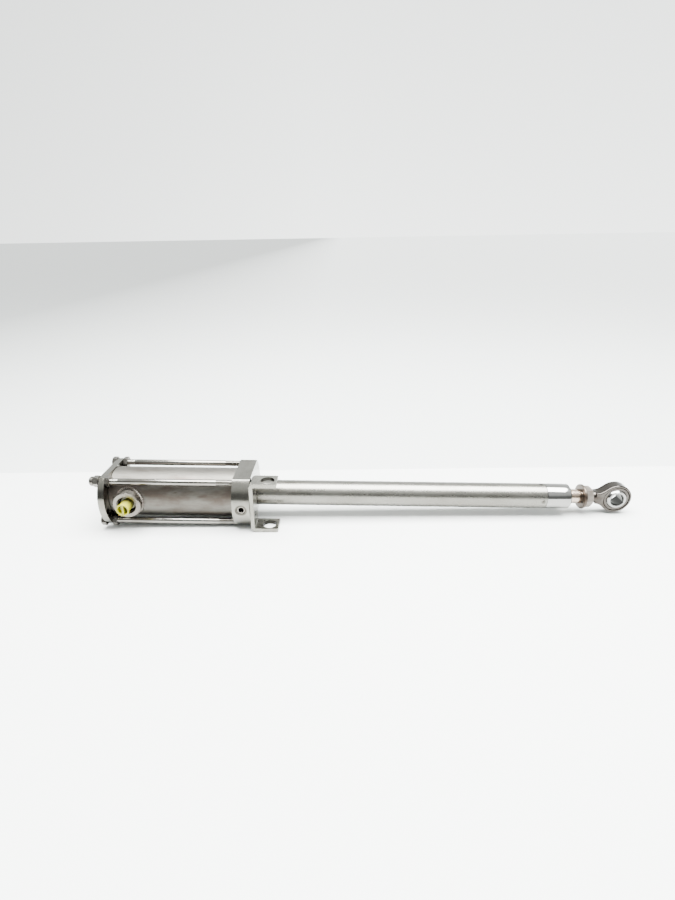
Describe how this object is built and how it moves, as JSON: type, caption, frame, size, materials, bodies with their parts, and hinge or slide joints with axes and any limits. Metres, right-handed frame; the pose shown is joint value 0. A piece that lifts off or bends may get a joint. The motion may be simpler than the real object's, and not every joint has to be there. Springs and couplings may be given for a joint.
{
  "type": "pneumatic cylinder",
  "caption": "Stainless tie-rod pneumatic cylinder with a U mounting bracket, a long guide nose, a sliding rod and a spherical rod end.",
  "frame": {"origin": "centre of the cap plate's outer face, on the cylinder's axis", "axes": "+X along the axis from the cap to the rod end, +Z the normal of the upper flats, the ports face -Y"},
  "size_m": [0.6775, 0.093, 0.0672],
  "materials": {
    "polished_stainless": "polished stainless steel with fine draw lines",
    "brushed_stainless": "dull brushed stainless steel with faint brown heat and oil stains",
    "machined_stainless": "turned and milled stainless steel, satin, with fine tool marks",
    "chromed_steel": "bright plated steel, slightly warm and worn",
    "rod_steel": "ground rod with a warm tan cast",
    "bearing_bronze": "sintered bronze",
    "black_rubber": "matt moulded rubber",
    "bearing_plastic": "off-white filled bearing plastic",
    "yellow_plastic": "bright yellow slightly translucent moulded plastic"
  },
  "bodies": {
    "cylinder": {"cap_plate": "machined_stainless", "head_block": "machined_stainless", "barrel_tube": "brushed_stainless", "port_boss": "brushed_stainless", "head_port_insert": "machined_stainless", "tie_rod_near_top": "polished_stainless", "tie_rod_near_bottom": "polished_stainless", "tie_rod_far_top": "polished_stainless", "tie_rod_far_bottom": "polished_stainless", "outer_nut_near_top": "machined_stainless", "outer_nut_near_bottom": "machined_stainless", "outer_nut_far_top": "machined_stainless", "outer_nut_far_bottom": "machined_stainless", "inner_nut_near_top": "machined_stainless", "inner_nut_near_bottom": "machined_stainless", "inner_nut_far_top": "machined_stainless", "inner_nut_far_bottom": "machined_stainless", "tie_rod_end_cap": "machined_stainless", "mounting_bracket": "machined_stainless", "bracket_screw_upper": "machined_stainless", "bracket_screw_lower": "machined_stainless", "nose_tube": "polished_stainless", "nose_end_bush": "polished_stainless", "rod_wiper": "black_rubber", "set_screw_top": "machined_stainless", "set_screw_near": "machined_stainless", "set_screw_bottom": "machined_stainless", "set_screw_far": "machined_stainless", "cap_oring": "black_rubber", "head_oring": "black_rubber", "rod_seal": "black_rubber", "rod_guide_bush": "bearing_bronze", "cap_bumper": "black_rubber", "head_bumper": "black_rubber"},
    "piston_seals": {"piston_seal_back": "black_rubber", "piston_seal_front": "black_rubber", "piston_wear_ring": "bearing_plastic"},
    "rod": {"piston": "machined_stainless", "piston_nut": "machined_stainless", "piston_rod": "rod_steel", "rod_stop_disc": "polished_stainless", "jam_nut": "chromed_steel", "rod_end_body": "chromed_steel", "rod_end_race": "chromed_steel"},
    "ball": {"rod_end_ball": "chromed_steel"},
    "plug": {"port_plug": "yellow_plastic"}
  },
  "joints": [
    {"name": "rod_slide", "type": "slide", "parent": "cylinder", "child": "piston_seals", "axis": [1, 0, 0], "range_m": [0, 0.0889]},
    {"name": "rod_turn", "type": "hinge", "parent": "piston_seals", "child": "rod", "pos_m": [0, 0, 0], "axis": [1, 0, 0], "continuous": true},
    {"name": "ball_turn", "type": "hinge", "parent": "rod", "child": "ball", "pos_m": [0.6465, 0, 0], "axis": [0, 1, 0], "continuous": true},
    {"name": "plug_pull", "type": "slide", "parent": "cylinder", "child": "plug", "axis": [0, -1, 0], "range_m": [0, 0.03]}
  ]
}
